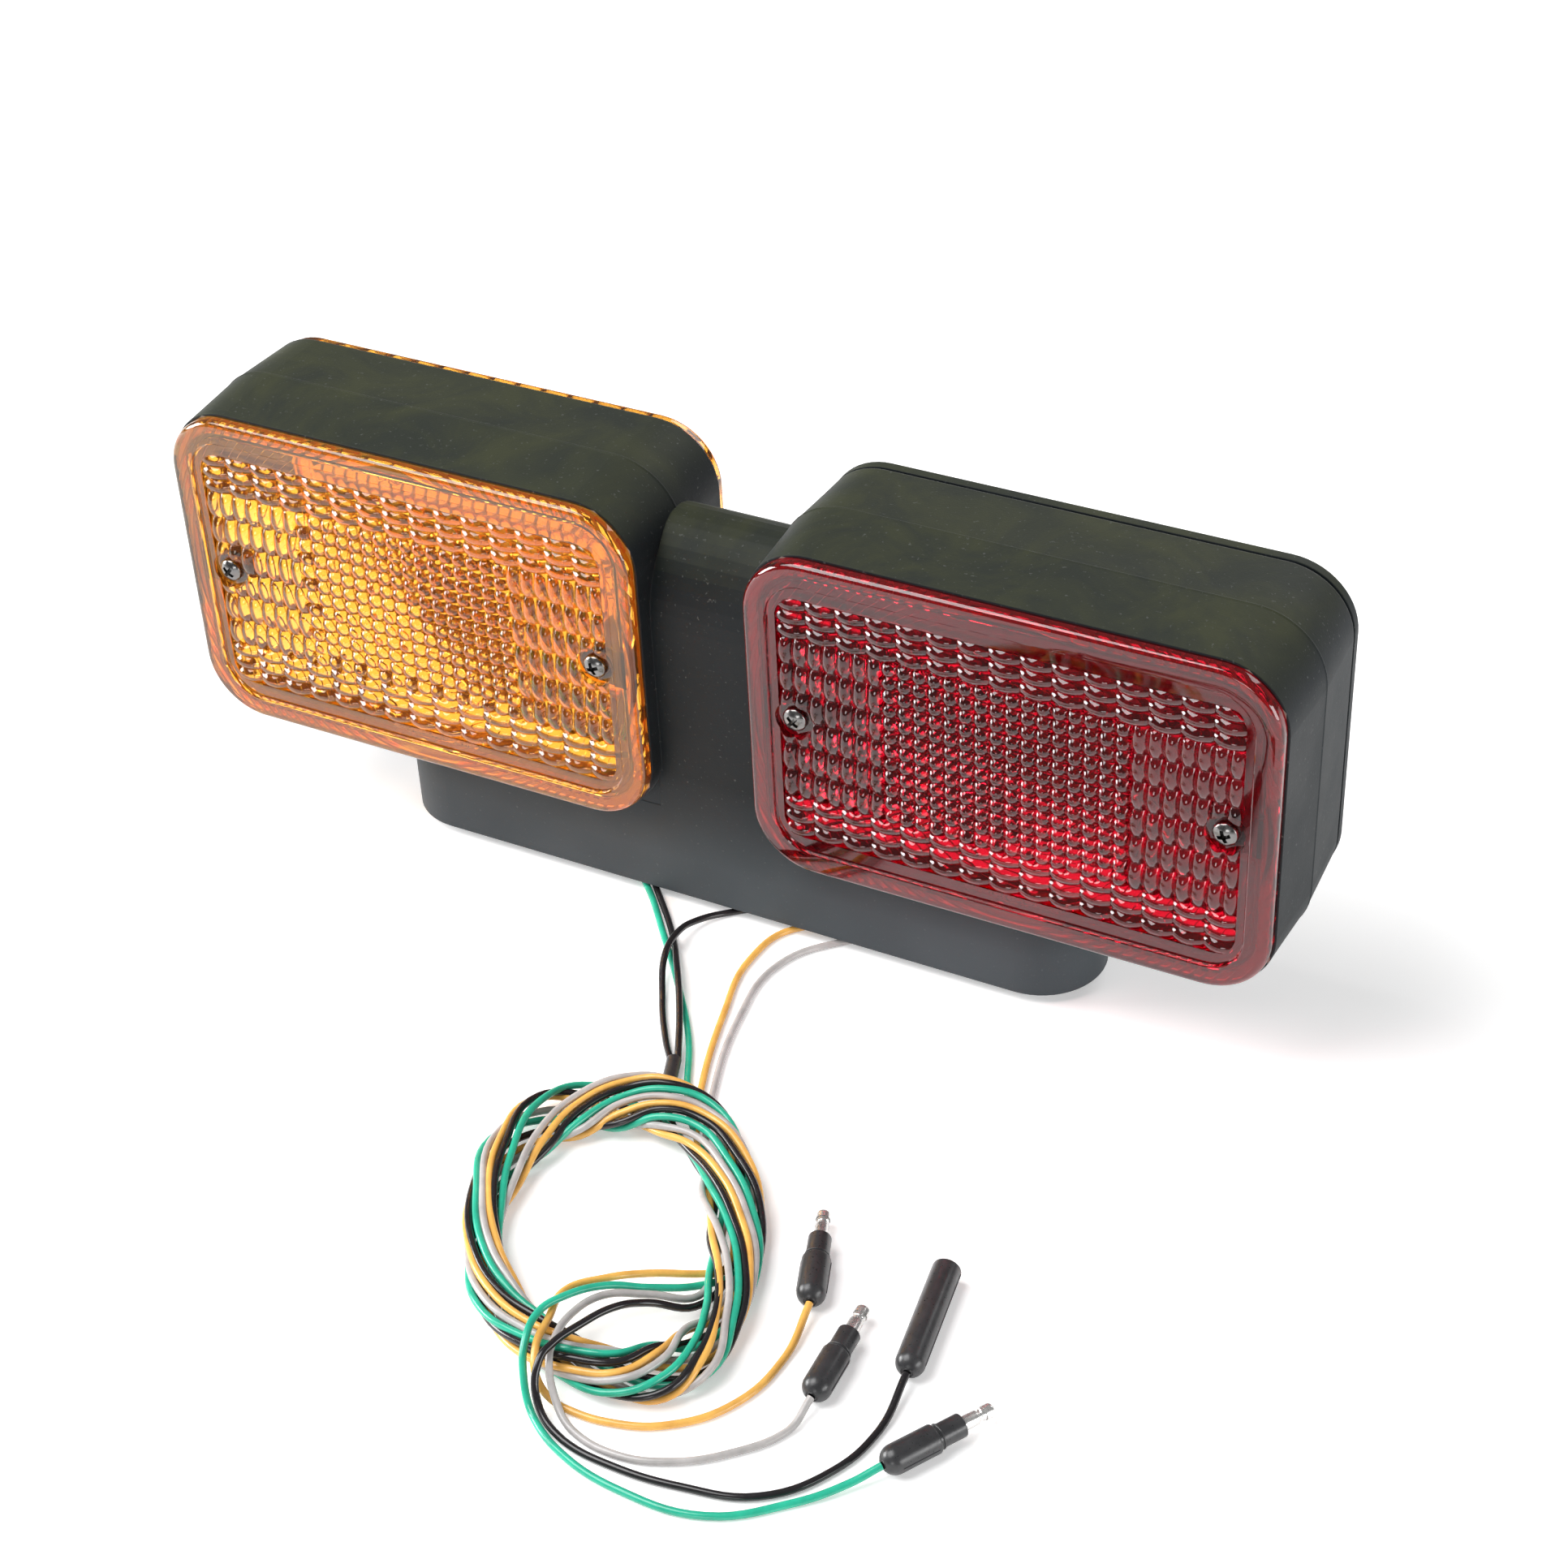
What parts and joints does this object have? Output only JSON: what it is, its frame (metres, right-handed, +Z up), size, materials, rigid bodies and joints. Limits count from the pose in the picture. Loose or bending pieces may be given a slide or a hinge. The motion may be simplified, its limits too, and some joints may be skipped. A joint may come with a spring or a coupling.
{
  "type": "tractor tail light",
  "caption": "Twin rear light for a tractor: rubber housing with an amber double-faced head, a red head, bulbs inside and a coiled set of leads with bullet plugs.",
  "frame": {"origin": "middle of the object on the plane of its two feet, leads left out", "axes": "+X from the amber head to the red head, +Y from the front lenses to the back, +Z up from the feet"},
  "size_m": [0.3578, 0.2614, 0.1436],
  "materials": {
    "rubber": "matt",
    "amber_lens": "clear moulded acrylic",
    "red_lens": "clear moulded acrylic",
    "screw_steel": "dark zinc",
    "bracket_steel": "zinc",
    "brass": "plain",
    "bulb_glass": "clear",
    "phenolic": "plain",
    "pin_nickel": "nickel plate",
    "sleeve_black": "gloss",
    "lead_green": "gloss",
    "lead_black": "gloss",
    "lead_orange": "gloss",
    "lead_grey": "gloss"
  },
  "bodies": {
    "root": {"housing": "rubber", "amber_front_lens": "amber_lens", "amber_rear_lens": "amber_lens", "red_lens": "red_lens", "rear_cover": "sleeve_black", "amber_front_screws": "screw_steel", "amber_rear_screws": "screw_steel", "red_lens_screws": "screw_steel", "cover_screws": "screw_steel", "amber_screw_inserts": "brass", "red_screw_inserts": "brass", "mounting_inserts": "brass", "amber_bulb": "bulb_glass", "red_bulb": "bulb_glass", "amber_socket": "bracket_steel", "red_socket": "bracket_steel", "amber_contact_disc": "phenolic", "red_contact_disc": "phenolic", "amber_bracket": "bracket_steel", "red_bracket": "bracket_steel", "amber_bracket_screws": "bracket_steel", "red_bracket_screws": "bracket_steel", "amber_grommet": "rubber", "red_grommet": "rubber", "amber_inner_leads": "lead_green", "red_inner_leads": "lead_orange", "green_lead": "lead_green", "black_lead_left": "lead_black", "black_lead_right": "lead_black", "orange_lead": "lead_orange", "grey_lead": "lead_grey", "lead_splice": "lead_black", "lead_coil": "lead_orange", "green_tail": "lead_green", "black_tail": "lead_black", "orange_tail": "lead_orange", "grey_tail": "lead_grey", "green_plug_sleeve": "sleeve_black", "green_plug_pin": "pin_nickel", "orange_plug_sleeve": "sleeve_black", "orange_plug_pin": "pin_nickel", "grey_plug_sleeve": "sleeve_black", "grey_plug_pin": "pin_nickel", "black_plug_sleeve": "sleeve_black", "black_plug_socket": "pin_nickel"}
  },
  "joints": []
}
